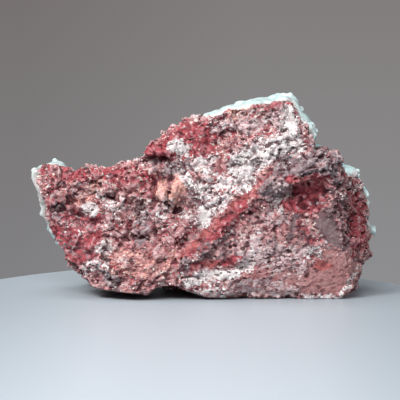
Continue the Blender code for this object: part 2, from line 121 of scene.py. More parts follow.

# Strokes laid on the front, from (x, z) to (x, z), with reach and strength. Most layers are the
# stains of one mineral, though a few strokes in them are painted light or shade, as marked. Smooth
# and flat calm the relief, and lump and hollow are part of it; the hollows also take painted shade.
STROKES = {
    "crimson": (
        ("left lobe rim", (-50, 46), (-20, 44), 3.4, 0.7),
        ("left end", (-60, 46), (-53, 40), 3.4, 0.65),
        ("left band", (-56, 32), (-41, 29), 3.2, 1.0),
        ("under the left band", (-55, 23), (-41, 22), 3.6, 0.85),
        ("left foot", (-51, 17), (-40, 14), 3.4, 0.95),
        ("crimson lump", (-20, 54), (-13, 55), 3.6, 1.0),
        ("upper slope", (-14, 60), (4, 62), 4.9, 0.72),
        ("upper slope foot", (-6, 55), (5, 56), 3.0, 0.65),
        ("crest", (4, 67), (30, 72), 2.3, 0.55),
        ("crest spot", (10, 63), (11, 62), 1.5, 0.9),
        ("cavity roof", (32, 43.5), (43, 44), 2.8, 1.0),
        ("cavity", (33, 39), (42, 38), 3.6, 1.0),
        ("cavity floor", (31, 36), (40, 35), 3.0, 0.9),
        ("right end face", (56, 36), (59, 21), 4.5, 0.75),
        ("right shoulder", (53, 46), (55, 44), 2.6, 0.5),
        ("lower groove", (-3, 12), (15, 16), 1.3, 0.9),
        ("porous patch right", (35, 28), (39, 23), 2.6, 0.6),
        ("middle speckle", (-37, 44), (-20, 40), 3.4, 0.6),
        ("middle seam", (-29, 27), (-20, 28), 2.2, 0.4),
        ("streak by the vein", (-6, 25), (-2, 29), 1.1, 0.7),
        ("vein edge upper", (26, 46), (13, 34), 2.1, 0.7),
        ("vein edge lower", (12, 32), (-4, 18), 2.1, 0.65),
        ("left lobe", (-55, 42), (-38, 38), 5.0, 0.45),
        ("crest face", (6, 67), (26, 68), 3.4, 0.32),
        ("small spot low", (34, 11), (35, 11), 1.3, 0.7),
        ("edge spot", (56, 16), (57, 14), 1.1, 0.6),
        ("left low speckle", (-34, 14), (-25, 6), 2.6, 0.35),
    ),
    "orange": (
        ("orange lump left", (-15.5, 40), (-13.8, 38), 2.9, 1.0),
        ("orange lump right", (-8.8, 44), (-10.8, 35.5), 2.1, 1.0),
        ("crest streak", (11, 69), (17, 70), 2.0, 0.8),
        ("left lobe tint", (-46, 35), (-40, 41), 2.6, 0.5),
        ("salmon patch", (-30, 14), (-13, 11), 4.8, 0.26),
        ("vein splash", (-12, 17), (-11, 17), 1.8, 0.5),
        ("above the cavity", (22, 49), (25, 52), 1.8, 0.5),
    ),
    "vein": (
        ("top", (25, 48), (18, 41), 1.2, 0.6),
        ("upper", (18, 41), (9, 33), 1.2, 0.75),
        ("lower", (9, 33), (0, 24), 1.3, 0.8),
        ("foot", (0, 24), (-10, 15), 1.2, 0.65),
        ("groove", (-3, 12), (6, 14), 1.2, 0.6),
        ("red spot", (42, 13), (46, 13), 1.8, 0.8),
        # Painted light: a brighter red that lifts the shadow on the cavity roof.
        ("cavity roof", (33, 43), (43, 43), 2.2, 0.6),
    ),
    "white": (
        ("crest patch", (31, 69), (32, 66), 2.6, 0.9),
        ("crest patch foot", (31, 64), (34, 60), 3.0, 0.85),
        ("band upper", (33, 59), (13, 50), 4.4, 0.85),
        ("band middle", (16, 45), (1, 41), 4.1, 0.66),
        ("band lower", (8, 40), (1, 32), 3.0, 0.65),
        ("band foot", (1, 31), (2, 28), 1.8, 0.8),
        ("band left", (-2, 51), (4, 53), 2.2, 0.6),
        ("spur", (-11, 57), (-7, 55), 2.2, 0.75),
        ("step", (-2, 49), (1, 48), 2.6, 0.6),
        ("bit by the vein", (8, 36), (8, 34), 1.8, 0.7),
        ("left knob", (-44, 33), (-42, 32), 2.0, 0.9),
        ("left patch", (-39, 37), (-32, 34), 2.6, 0.45),
        ("left end speckle", (-60, 44), (-58, 42), 1.2, 0.25),
        ("left speck", (-51, 25), (-51, 25), 1.2, 0.5),
        ("left speck two", (-46, 25), (-45, 24), 1.1, 0.5),
        ("left low patch", (-38, 19), (-35, 19), 2.2, 0.65),
        ("left foot patch", (-44, 11), (-37, 13), 1.9, 0.6),
        ("by the orange lump", (-8, 46), (-6, 42), 1.9, 0.7),
        ("below the orange lump", (-7, 32), (-2, 29), 2.6, 0.5),
        ("grey white speckle", (-16, 31), (-12, 37), 2.2, 0.4),
        ("low streak left", (-6, 7), (10, 10), 1.9, 0.85),
        ("low streak bend", (10, 10), (17, 14), 1.8, 0.7),
        ("low streak top", (17, 13), (20, 24), 2.1, 0.6),
        ("cool specks", (36, 16), (41, 18), 2.0, 0.4),
        ("crest speckle", (6, 65), (25, 66), 3.6, 0.2),
        ("low streak below", (4, 6), (8, 4), 2.2, 0.5),
        ("foot lump", (-3, 3), (9, 2), 1.9, 0.4),
        ("grey ledge foot", (27, 38), (28, 34), 1.8, 0.6),
        ("right edge bead", (58, 11), (51, 1), 0.8, 0.5),
        ("right lip", (37, 1), (50, 1), 0.9, 0.6),
        ("right end speck", (56, 42), (57, 40), 1.5, 0.4),
    ),
    "grey": (
        ("ledge left", (22, 41), (31, 49), 2.9, 0.8),
        ("ledge middle", (31, 50), (42, 54), 3.2, 1.0),
        ("ledge right", (42, 55), (48, 53), 3.0, 1.0),
        ("ledge foot", (47, 52), (49, 45), 2.2, 0.8),
        ("ledge below", (29, 48), (46, 49), 1.4, 0.8),
        ("ledge tail", (26, 38), (29, 44), 2.0, 0.7),
        ("above the ledge", (38, 59), (44, 56), 2.2, 0.6),
        ("by the crevice", (-14, 47), (-6, 50), 3.0, 0.7),
        ("beside the orange lump", (-4, 41), (-1, 37), 2.6, 0.7),
        ("porous middle", (-23, 32), (-23, 23), 3.4, 0.6),
        ("left pit", (-55, 33), (-54, 32), 2.3, 0.7),
        ("left hollow", (-36, 39), (-35, 37), 2.2, 0.5),
        ("dark foot patch", (-34, 9), (-32, 6), 2.6, 0.85),
        ("crest blotch", (20, 57), (22, 58), 1.8, 0.7),
        ("band blotch", (2, 50), (3, 49), 1.5, 0.6),
        ("blue patch", (-7, 15), (-6, 11), 2.2, 0.6),
        ("cool patch", (39, 18), (41, 17), 1.9, 0.65),
        ("crevice knuckle", (-19, 50), (-18, 48), 1.9, 0.5),
    ),
    "mauve": (
        ("under the vein", (1, 19), (14, 21), 4.8, 0.5),
        ("lower middle", (25, 16), (30, 15), 3.3, 0.8),
        ("middle face", (33, 28), (32, 24), 1.9, 0.8),
        ("smooth face", (45, 30), (48, 23), 4.2, 1.0),
        ("smooth face foot", (45, 18), (51, 21), 2.2, 0.6),
        ("speckled brow", (42, 36), (52, 34), 2.2, 0.65),
        ("corner", (52, 36), (53, 20), 1.6, 0.7),
        # Dark end foot: partly its own dark brown, partly painted shade at the foot.
        ("end foot", (60, 9), (55, 1), 1.8, 0.95),
        ("left foot", (-50, 21), (-38, 13), 3.6, 0.4),
        # Painted shade for the shadowed undercut below the lump over the left band.
        ("left band", (-56, 31), (-41, 29), 3.0, 0.35),
        ("left corner", (-61, 47), (-57, 41), 3.5, 0.25),
        ("porous face", (35, 30), (40, 20), 4.0, 0.4),
        ("right of the cavity", (46, 38), (48, 34), 3.0, 0.5),
        ("centre right", (22, 28), (28, 32), 3.7, 0.4),
        ("undercut", (14, 2), (35, 2), 1.5, 0.35),
    ),
    "pink": (
        ("pink face", (33, 8), (50, 7), 5.4, 0.85),
        ("pink face right", (46, 17), (54, 10), 4.8, 0.85),
        ("pink foot", (20, 6), (33, 6), 2.6, 0.5),
        ("left lobe", (-50, 38), (-28, 36), 7.0, 0.42),
        ("salmon patch", (-30, 14), (-13, 11), 4.8, 0.35),
        ("lower middle", (21, 12), (32, 12), 3.7, 0.35),
    ),
    "pale": (
        ("low middle", (17, 19), (33, 15), 6.0, 0.62),
        ("low middle foot", (12, 5), (32, 4), 3.6, 0.62),
        ("beside the porous patch", (20, 30), (28, 30), 3.2, 0.35),
        ("crest face", (6, 65), (25, 66), 4.4, 0.45),
        # Painted light that lifts the ledge's shadow left of the cavity.
        ("cavity left", (28, 43), (31, 40), 2.6, 0.8),
        ("left lobe", (-50, 40), (-36, 42), 4.0, 0.15),
    ),
    "smooth": (
        ("orange lumps", (-15, 40), (-9, 41), 2.8, 0.4),
        ("pink face", (32, 7), (51, 6), 5.0, 0.55),
        ("pink face right", (47, 17), (55, 11), 4.5, 0.6),
        ("mauve face", (45, 28), (49, 23), 3.0, 0.8),
        ("middle face", (33, 28), (32, 24), 1.6, 0.6),
        ("undercut", (14, 2), (36, 2), 1.5, 0.9),
    ),
    "flat": (
        ("lower right face", (9, 14), (46, 14), 12.5, 0.9),
        ("right of the vein", (24, 26), (47, 24), 8.0, 0.85),
        ("orange lumps", (-15, 40), (-9, 41), 3.6, 0.6),
        ("vein", (24, 46), (-4, 20), 3.0, 0.6),
        ("salmon patch", (-30, 14), (-14, 11), 5.0, 0.4),
    ),
    "lump": (
        ("orange lump left", (-15.2, 40), (-14, 38.5), 2.6, 1.0),
        ("orange lump right", (-8.8, 43), (-10.6, 36), 2.0, 1.0),
        ("crimson lump", (-19, 54), (-13, 55), 3.2, 0.9),
        ("crevice knuckle", (-19, 49), (-18, 47), 1.9, 0.9),
        ("ledge lip", (29, 46), (37, 50), 1.7, 0.45),
        ("ledge lip right", (37, 50), (47, 49), 1.7, 0.5),
        ("ledge top", (38, 56), (44, 56), 2.2, 0.6),
        ("left knob", (-44, 33), (-42, 31), 2.4, 0.8),
        ("cavity left", (28, 43), (31, 40), 2.6, 1.3),
        ("left low patch", (-38, 19), (-35, 19), 2.4, 0.7),
        ("left foot patch", (-44, 11), (-37, 13), 2.2, 0.6),
        ("left band", (-55, 27), (-42, 25), 1.9, 0.7),
        ("spur", (-11, 57), (-7, 55), 2.2, 0.6),
        ("band upper", (30, 58), (22, 54), 2.6, 0.5),
        ("step", (-2, 49), (1, 48), 2.4, 0.6),
        ("right end", (57, 34), (60, 22), 2.6, 0.5),
    ),
    "hollow": (
        ("left hollow", (-36, 38), (-36, 37), 1.5, 1.0),
        ("left pit", (-56, 33), (-53, 32), 1.5, 0.75),
        ("porous slit", (-27, 23), (-21, 23), 1.1, 1.0),
        ("porous crack", (-19, 27), (-19, 24), 0.9, 1.0),
        ("under the orange lump", (-12, 32.5), (-8.5, 33.8), 0.9, 0.85),
        ("between the orange lumps", (-12.4, 42), (-12.2, 36), 0.6, 0.9),
        ("by the orange lump", (-8, 48), (-7, 48), 1.5, 1.0),
        ("crevice", (-19, 51), (-12, 52), 0.7, 0.8),
        ("crest spot", (10, 62), (11, 62), 1.1, 0.8),
        ("hole above the vein", (-6, 24), (-8, 20), 1.1, 0.9),
        ("left lobe crease", (-55, 31), (-40, 29), 1.4, 0.6),
        ("left lobe hole", (-42, 41), (-41, 42), 1.1, 0.8),
        ("porous top", (-22, 34), (-21, 31), 1.5, 0.8),
        ("cavity holes", (37, 36), (39, 36), 1.5, 0.8),
        ("cavity", (35, 39.5), (41, 39), 3.2, 0.38),
        ("cavity deep", (36, 37), (40, 36), 1.4, 0.75),
        ("cavity foot", (37, 31), (38, 31), 1.1, 0.9),
        ("cavity lintel", (33, 45.5), (42, 46.5), 0.7, 0.8),
        ("vein hole one", (15, 31), (15, 30), 1.1, 0.8),
        ("vein hole two", (20, 31), (21, 30), 0.9, 0.8),
        ("porous mauve one", (8, 19), (9, 19), 1.1, 0.8),
        ("porous mauve two", (11, 20), (11, 20), 0.9, 0.8),
        ("low hole", (26, 27), (27, 25), 1.1, 0.8),
        ("ledge seam", (32, 47), (40, 49), 0.6, 0.8),
        ("ledge seam right", (41, 50), (45, 48), 0.6, 0.8),
        ("ledge split", (26, 44), (33, 51), 0.5, 0.7),
        ("ledge split two", (36, 55), (43, 52), 0.5, 0.7),
        ("ledge crack", (30, 51), (38, 54), 0.6, 0.8),
        ("ledge crack right", (40, 54), (46, 52), 0.6, 0.8),
        ("ledge end", (47, 51), (49, 45), 0.9, 0.8),
        ("right end hole", (54, 42), (55, 40), 1.1, 0.8),
        ("foot patch hole one", (-35, 9), (-34, 8), 0.9, 0.9),
        ("foot patch hole two", (-32, 6), (-32, 6), 0.9, 0.9),
        ("left end hole", (-53, 49), (-52, 47), 1.1, 0.8),
        ("left low crack", (-39, 16), (-36, 16), 1.1, 0.8),
        ("band hole", (17, 45), (17, 44), 1.1, 0.8),
        ("corner crease", (50, 46), (51, 32), 1.1, 0.75),
        ("corner crease low", (52, 33), (53, 21), 0.8, 0.6),
        ("speckled brow", (42, 35), (51, 34), 1.6, 0.45),
        ("porous patch right", (36, 27), (39, 23), 1.6, 0.45),
        ("foot undercut", (14, 1), (36, 1), 1.4, 0.6),
        ("end foot", (60, 8), (56, 1), 1.4, 0.55),
    ),
}

# Stains where none is listed: mean strength, wavelength and swing of each mineral, and
# the share of them that is left on the front and on its flat faces.
WILD_STAINS = {
    "crimson": (0.30, 13.0, 0.75),
    "orange": (0.02, 10.0, 0.45),
    "vein": (0.0, 8.0, 0.35),
    "white": (0.10, 12.0, 0.75),
    "grey": (0.10, 11.0, 0.7),
    "mauve": (0.12, 17.0, 0.6),
    "pink": (0.0, 20.0, 0.3),
    "pale": (0.0, 15.0, 0.3),
}
WILD_ON_FRONT = 0.4
WILD_ON_FLAT = 0.3

# Along the rim, how far the crust and the matrix move by (x, y, z), with the reach of each move
# and the y about which it fades, then where along its reach and over how much y it does.
RIM_MOVES = {
    "crust": (
        ("left corner", (-67, 49), (-62, 51), 2.8, (1.6, 0.0, -1.4), 30),
        ("left rim", (-65, 46), (-58, 27), 3.0, (1.1, 0.0, 0.0), 30),
        ("left top", (-60, 50), (-50, 52), 4.0, (0.0, 3.6, -2.6), -1),
        ("left cap", (-59, 52), (-50, 52), 4.2, (0.0, 0.0, -1.6), 30),
        ("saddle end", (-48, 50), (-40, 48), 4.6, (0.0, 2.5, -6.5), 30),
        ("apex", (28, 77), (34, 77), 3.4, (0.0, 0.0, -0.9), 30),
        ("flank", (39, 66), (41, 62), 2.6, (-0.3, 0.0, 0.0), 30),
        ("ledge", (45, 57), (51, 50), 3.6, (-1.9, 1.5, -1.6), 30),
        ("right shoulder", (52, 50), (56, 51), 3.0, (0.0, 1.0, -1.1), 30),
        ("right end", (57, 47), (60, 43), 2.4, (-1.6, 1.0, -1.0), 30),
        ("right edge", (65, 33), (65, 27), 3.4, (-2.0, 0.0, 0.0), 30),
    ),
    "matrix": (
        ("left top", (-60, 48), (-48, 49), 3.8, (0.0, 0.0, 3.1), -1),
        ("saddle end", (-50, 48), (-44, 48), 2.6, (0.0, 0.0, 1.6), 30),
        ("crest left", (4, 68), (13, 70), 3.6, (0.0, 0.0, 1.5), 30),
        ("crest", (14, 70), (20, 71), 2.6, (0.0, 0.0, 0.7), 30),
        ("apex", (27, 72), (33, 72), 3.0, (0.0, 0.0, 0.7), 30),
        ("ledge", (45, 57), (50, 52), 3.0, (0.3, 0.0, 0.4), 30),
        ("right shoulder", (52, 48), (58, 48), 2.6, (0.0, 0.0, 1.3), 30),
    ),
}
RIM_EDGE = (0.4, 1.3)
RIM_FADE = 4.0

# The arch under the foot is a shallow niche: its span in x, how far its ends fade, the depth over
# which it closes, how high the rock is that closes it, and what share of its height that keeps.
NICHE_SPAN = (-19.0, 8.0)
NICHE_END = 5.0
NICHE_DEPTH = (-10.0, -3.0)
NICHE_HEIGHT = (8.5, 6.5)
NICHE_FLOOR = 0.12

# Over what height the relief of the rock and of the crust runs from low to high, where the rock's
# low places take painted shade and its knobs dust and a painted highlight, and how many times the
# mean that it is measured from is spread.
ROCK_RELIEF = (1.2, 40)
CRUST_RELIEF = (0.8, 60)

# Grains scattered on the rough faces, in clusters of this wavelength, mean and swing.
GRAINS = {"spacing": 1.0, "radius": (0.16, 0.46), "flatness": 0.8, "sinking": -0.14, "seed": 4}
GRAIN_CLUSTERS = (7.0, 0.4, 0.9)
THINNEST_COVER = 0.03
GRAINS_ON_FLAT = 0.2
GRAIN_HEIGHT = (1.5, 4.0)

# How close to the matrix and how much turned to it the crust's seat is, how far off the crust is
# clear of it, and how far the seat is let into the matrix.
SEAT_GAP = (0.9, 1.6)
SEAT_LEAN = (0.2, 0.7)
CLEAR_GAP = (0.5, 1.6)
SEATING = 0.75

# Botryoidal relief of the crust: cell size and height of its lobes, which are calmer towards the
# front, and the beads set on them, except where it faces up.
CRUST_LOBES = ((7.0, 1.5), (3.8, 0.95), (2.2, 0.4))
LOBE_WARP = (4.0, 0.5)
LOBE_SPAN = 0.95
LOBE_LEVEL = 0.6
RIM_CALM = 0.6
KNOBBY_LEAN = (-0.5, 0.3)
BEADED_LEAN = (0.85, 0.5)
BEAD_ROOM = 0.55
BEADS = {"spacing": 3.1, "radius": (1.0, 2.1), "flatness": 0.7, "sinking": -0.25, "seed": 9}

# How the crust's edge wanders on top of the matrix: wavelength and reach, and where it does.
CRUST_DRIFT = (9.0, 3.0)
DRIFT_LEAN = (0.3, 0.8)
DRIFT_SPAN = (-40.0, -30.0)

# Scattered stones: the densest crop on a square metre, how uneven each one is, how far it may be
# turned in radians, and how much rarer the large ones are.
DENSEST = 6.0e6
UNEVEN = (0.55, 1.3)
TURN = (0.4, 0.4, math.tau)
STONE_RARITY = 2.0


# ---------------------------------------------------------------- meshes


def smoothstep(low, high, value):
    share = np.clip((value - low) / (high - low), 0.0, 1.0)
    return share * share * (3.0 - 2.0 * share)


def lessen(share, left):
    """A factor that falls from 1 to what is left as the share goes from 0 to 1."""
    return 1.0 - (1.0 - left) * share


def new_object(name, data):
    obj = bpy.data.objects.new(name, data)
    bpy.context.scene.collection.objects.link(obj)
    return obj


def merged_copy(node, name):
    """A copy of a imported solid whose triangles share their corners."""
    bm = bmesh.new()
    bm.from_mesh(node.data)
    bmesh.ops.remove_doubles(bm, verts=bm.verts, dist=WELD * MM)
    mesh = bpy.data.meshes.new(name)
    bm.to_mesh(mesh)
    bm.free()
    return new_object(name, mesh)


def fine_copy(node, name, voxel):
    """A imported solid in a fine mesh, with its flat facets smoothed over."""
    obj = merged_copy(node, name)
    voxel_remesh(obj, voxel)
    soften(obj, FACET_SMOOTHING)
    return obj


def evaluated_mesh(obj):
    """The mesh that an object's modifiers make. The modifiers are taken off."""
    graph = bpy.context.evaluated_depsgraph_get()
    mesh = bpy.data.meshes.new_from_object(obj.evaluated_get(graph))
    obj.modifiers.clear()
    return mesh


def apply_modifier(obj, kind, **settings):
    modifier = obj.modifiers.new(kind, kind)
    for key, value in settings.items():
        setattr(modifier, key, value)
    obj.data = evaluated_mesh(obj)


def voxel_remesh(obj, voxel):
    apply_modifier(obj, "REMESH", mode="VOXEL", voxel_size=voxel * MM)


def soften(obj, passes):
    apply_modifier(obj, "SMOOTH", factor=0.5, iterations=passes)


def read_vectors(items, key):
    vectors = np.empty(len(items) * 3)
    items.foreach_get(key, vectors)
    return vectors.reshape(-1, 3)


def points_of(obj):
    """Vertex positions in millimetres."""
    return read_vectors(obj.data.vertices, "co") / MM


def normals_of(obj):
    return read_vectors(obj.data.vertex_normals, "vector")


def set_points(obj, points):
    obj.data.vertices.foreach_set("co", (points * MM).ravel())
    obj.data.update()


def set_attributes(obj, **layers):
    """Stores numbers for each vertex, for the materials and the scatter to read."""
    for name, values in layers.items():
        attribute = obj.data.attributes.new(name, "FLOAT", "POINT")
        attribute.data.foreach_set("value", np.asarray(values, dtype=np.float32))


def thin_hidden(obj, hidden, triangles):
    """Collapses edges down to a number of triangles, mostly where the surface is hidden."""
    group = obj.vertex_groups.new(name="hidden")
    for chosen, weight in ((hidden <= 0.5, SEEN_WEIGHT), (hidden > 0.5, HIDDEN_WEIGHT)):
        group.add(np.flatnonzero(chosen).tolist(), weight, "REPLACE")
    obj.data.calc_loop_triangles()
    apply_modifier(
        obj, "DECIMATE", ratio=min(1.0, triangles / len(obj.data.loop_triangles)),
        vertex_group=group.name, vertex_group_factor=HIDDEN_FACTOR, use_collapse_triangulate=True,
    )
    obj.vertex_groups.clear()


def mean_of_neighbours(obj, values, passes):
    """The values spread over the mesh by averaging along its edges."""
    edges = np.empty(len(obj.data.edges) * 2, dtype=np.int64)
    obj.data.edges.foreach_get("vertices", edges)
    first, second = edges[0::2], edges[1::2]
    count = np.maximum(np.bincount(edges, minlength=len(values)), 1)
    for _ in range(passes):
        total = np.bincount(first, values[second], len(values))
        total += np.bincount(second, values[first], len(values))
        values = 0.5 * (values + total / count)
    return values


def tree_of(node):
    """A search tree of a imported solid, in millimetres."""
    corners = [v.co / MM for v in node.data.vertices]
    return BVHTree.FromPolygons(corners, [tuple(p.vertices) for p in node.data.polygons])


def covered(points, normals, tree):
    """1 where a point is behind the other solid, looking out along its normal, and 0 elsewhere."""
    hits = [tree.ray_cast(Vector(p), Vector(n), COVER_REACH)[0] for p, n in zip(points, normals)]
    return np.array([float(hit is not None) for hit in hits])


def against(points, normals, tree):
    """Which points face a solid close by, from 0 to 1, and how far each point is from it."""
    nearest = [tree.find_nearest(Vector(p)) for p in points]
    away = np.array([hit[3] for hit in nearest])
    towards = np.array([(hit[0] - Vector(p)).normalized()[:] for p, hit in zip(points, nearest)])
    facing = smoothstep(*SEAT_LEAN, (towards * normals).sum(axis=1))
    return facing * (1.0 - smoothstep(*SEAT_GAP, away)), away


# ---------------------------------------------------------------- noise and strokes


def place_in_noise(shift):
    """Where a field of the noise starts."""
    return Vector((shift, 2.0 * shift, 3.0 * shift))


def wave(points, wavelength, shift):
    """Gradient noise for each point, from about -1 to 1."""
    offset = place_in_noise(shift)
    return np.array([noise.noise(Vector(p) / wavelength + offset) for p in points])


def warped(points, wavelength, reach, shift):
    """The points, each pushed about by noise, so that cells and edges run unevenly."""
    push = np.stack([wave(points, wavelength, shift + 5.0 * axis) for axis in range(3)], axis=1)
    return points + reach * push


def cells(points, size, shift):
    """For each point: how far its cell's centre is, how much further the next, and the way to it."""
    offset = place_in_noise(shift)
    table = np.empty((len(points), 8))
    for index, point in enumerate(points):
        place = Vector(point) / size + offset
        near, centres = noise.voronoi(place)
        table[index] = (near[0], near[1] - near[0], *(place - centres[0]), *centres[0])
    return table[:, 0], table[:, 1], table[:, 2:5], table[:, 5:8]


def crags(points, size, height, seam, shift):
    """Broken blocks of one size: each has its own step and tilt, and a seam runs between them."""
    _, edge, away, centres = cells(points, size, shift)
    draws = np.modf(np.abs(np.sin(centres @ CELL_HASH)) * HASH_SPEED)[0] - 0.5
    tilted = draws[:, 0] + BLOCK_TILT * (draws[:, 1:] * away).sum(axis=1)
    blend = smoothstep(0.0, BLOCK_EDGE, edge)
    return height * tilted * blend - seam * np.exp(-((edge / SEAM_WIDTH) ** 2))


def stroke(points, start, end, reach, edge):
    """1 along the stroke between two points (x, z) of the front, falling to 0 over its edge."""
    x, z = points[:, 0], points[:, 2]
    start, end = np.array(start, dtype=float), np.array(end, dtype=float)
    along = end - start
    share = ((x - start[0]) * along[0] + (z - start[1]) * along[1]) / max(along @ along, 1e-9)
    share = np.clip(share, 0.0, 1.0)
    distance = np.hypot(x - start[0] - share * along[0], z - start[1] - share * along[1])
    return 1.0 - smoothstep(edge[0] * reach, edge[1] * reach, distance)


def painted(points, facing, layer, edge=STROKE_EDGE):
    """Strength of one layer of strokes at each point that faces the front."""
    wandering = points
    for index, wander in enumerate(STROKE_WANDER):
        wandering = warped(wandering, *wander, FIELD["strokes"] + 3.0 * index)
    strength = np.zeros(len(points))
    for _, start, end, reach, full in STROKES[layer]:
        strength = np.maximum(strength, full * stroke(wandering, start, end, reach, edge))
    return strength * facing


def rim_shift(points, piece):
    """How far each point of a piece moves to share the rim between crust and matrix."""
    shift = np.zeros_like(points)
    for _, start, end, reach, move, back in RIM_MOVES[piece]:
        share = stroke(points, start, end, reach, RIM_EDGE)
        share *= 1.0 - smoothstep(back - RIM_FADE, back + RIM_FADE, points[:, 1])
        shift += share[:, None] * np.array(move)
    return shift


# ---------------------------------------------------------------- matrix


def zones_of(rock, points, normals, crust_tree):
    """Where the matrix faces the front, and is smooth, flat, on the table, underneath or bare."""
    zone = SimpleNamespace()
    zone.facing = smoothstep(*FRONT_LEAN, -normals[:, 1]) * smoothstep(*FRONT_DEPTH, points[:, 1])
    zone.smooth = painted(points, zone.facing, "smooth")
    zone.flat = painted(points, zone.facing, "flat")
    zone.grounded = 1.0 - smoothstep(*BASE_FADE, points[:, 2])
    zone.under = smoothstep(*UNDERSIDE_LEAN, -normals[:, 2]) * smoothstep(*UNDERSIDE_HEIGHT, points[:, 2])
    zone.bare = 1.0 - mean_of_neighbours(rock, covered(points, normals, crust_tree), 2)
    zone.rough = lessen(zone.smooth, SMOOTH_RELIEF) * lessen(zone.flat, FLAT_RELIEF)
    zone.rough *= lessen(zone.grounded, BASE_RELIEF)
    zone.rough *= lessen(zone.under, UNDERSIDE_RELIEF)
    zone.rough *= COVERED_RELIEF + (1.0 - COVERED_RELIEF) * zone.bare
    return zone


def throw_pits(points, roughness):
    """Sinks small uneven pits at random places, mostly where the rock is rough."""
    rng = random.Random(PIT_SEED)
    points = warped(points, *PIT_WARP, FIELD["pit warp"])
    tree = KDTree(len(points))
    for index, point in enumerate(points):
        tree.insert(Vector(point), index)
    tree.balance()
    depth = np.zeros(len(points))
    small, large = PIT_RADIUS
    for _ in range(PIT_COUNT):
        centre = rng.randrange(len(points))
        radius = small + (large - small) * rng.random() ** PIT_RARITY
        sink = radius * rng.uniform(*PIT_DEPTH)
        if rng.random() > roughness[centre]:
            radius = small
            sink = CALM_PIT_DEPTH * small
        for _, index, distance in tree.find_range(Vector(points[centre]), radius):
            depth[index] = max(depth[index], sink * (1.0 - (distance / radius) ** 2) ** PIT_BOWL)
    return depth


def carve(points, zone):
    """How far each point of the matrix rises, and how much it lies in a named hole or in a pit."""
    warp = warped(points, *CELL_WARP, FIELD["cell warp"])
    rise = sum(crags(warp, *block, FIELD["blocks"] + index) for index, block in enumerate(BLOCKS))
    for index, (wavelength, height) in enumerate(SWELLS):
        rise += height * wave(points, wavelength, FIELD["swells"] + index)
    for index, (wavelength, width, depth) in enumerate(CREVICES):
        rise -= depth * np.exp(-((wave(warp, wavelength, FIELD["crevices"] + index) / width) ** 2))
    hollow = painted(points, zone.facing, "hollow", HOLLOW_EDGE)
    wavelength, mean, swing = RAGGED
    hollow *= np.clip(mean + swing * wave(points, wavelength, FIELD["ragged"]), 0.0, 1.0)
    pits = throw_pits(points, zone.rough)
    rise = rise * zone.rough - pits * (1.0 - zone.grounded) - NAMED_PIT_DEPTH * hollow
    rise += NAMED_LUMP_HEIGHT * painted(points, zone.facing, "lump", LUMP_EDGE)
    rise = np.where(zone.grounded > 0.9, np.minimum(rise, 0.0), rise) - COVERED_SINKING * (1.0 - zone.bare)
    return rise, hollow, pits


def close_niche(points):
    """Lowers the underside behind the niche to the table, so the niche has a back."""
    x, y, z = points.T
    left, right = NICHE_SPAN
    behind = smoothstep(left, left + NICHE_END, x) * smoothstep(right, right - NICHE_END, x)
    behind *= smoothstep(*NICHE_DEPTH, y) * smoothstep(*NICHE_HEIGHT, z)
    points[:, 2] = np.maximum(z * lessen(behind, NICHE_FLOOR), 0.0)


def stain_matrix(rock, points, zone):
    """Stores each mineral's strength: the listed stains, and wild ones around them."""
    reddened = painted(points, zone.facing, "crimson")
    for index, (layer, (mean, wavelength, swing)) in enumerate(WILD_STAINS.items()):
        wild = mean + swing * wave(points, wavelength, FIELD["wild stains"] + 4.0 * index)
        wild *= lessen(zone.facing, WILD_ON_FRONT)
        wild = np.clip(wild, 0.0, 1.0) * (1.0 - zone.smooth) * lessen(zone.flat, WILD_ON_FLAT)
        if layer != "crimson":
            wild *= 1.0 - reddened
        set_attributes(rock, **{layer: np.maximum(painted(points, zone.facing, layer), wild)})


def cover_of_grains(points, zone, hollow):
    """How thickly loose grains lie: in clusters on open rough rock, clear of the table."""
    wavelength, mean, swing = GRAIN_CLUSTERS
    clusters = np.clip(mean + swing * wave(points, wavelength, FIELD["grains"]), THINNEST_COVER, 1.0)
    smooth = smoothstep(0.0, 0.4, zone.smooth)
    vein = painted(points, zone.facing, "vein")
    cover = clusters * zone.bare * lessen(zone.flat, GRAINS_ON_FLAT) * smoothstep(*GRAIN_HEIGHT, points[:, 2])
    for none_here in (smooth, zone.grounded, hollow, vein, zone.under):
        cover *= 1.0 - none_here
    return cover


def sculpt_matrix(node, crust_tree):
    """Gives the matrix its fine relief, and stores its stains and where its material paints shade and
    highlight.
    """
    rock = fine_copy(node, "rough_matrix", MATRIX_VOXEL)
    hidden = covered(points_of(rock), normals_of(rock), crust_tree)
    thin_hidden(rock, mean_of_neighbours(rock, hidden, 3), MATRIX_TRIANGLES)

    points, normals = points_of(rock), normals_of(rock)
    zone = zones_of(rock, points, normals, crust_tree)
    rise, hollow, pits = carve(points, zone)
    points += rise[:, None] * normals + rim_shift(points, "matrix")
    close_niche(points)
    set_points(rock, points)

    span, passes = ROCK_RELIEF
    # The relief and the hollows, pits included, lead where the material paints shade and a highlight.
    set_attributes(
        rock,
        relief=np.clip((rise - mean_of_neighbours(rock, rise, passes)) / span, -1.0, 1.0),
        hollow=np.clip(hollow + 0.8 * smoothstep(0.3, 1.0, pits), 0.0, 1.0),
        smooth=zone.smooth,
        grain_cover=cover_of_grains(points, zone, hollow),
    )
    stain_matrix(rock, points, zone)
    rock.data.shade_smooth()
    return rock


# ---------------------------------------------------------------- nodes


def new_group(kind, name, inputs, outputs):
    """A node group whose inputs and outputs have these labels and kinds of socket."""
    group = bpy.data.node_groups.new(name, kind)
    for way, sockets in (("OUTPUT", outputs), ("INPUT", inputs)):
        for label, socket in sockets.items():
            group.interface.new_socket(label, in_out=way, socket_type="NodeSocket" + socket)
    return group, group.nodes.new("NodeGroupInput").outputs, group.nodes.new("NodeGroupOutput").inputs


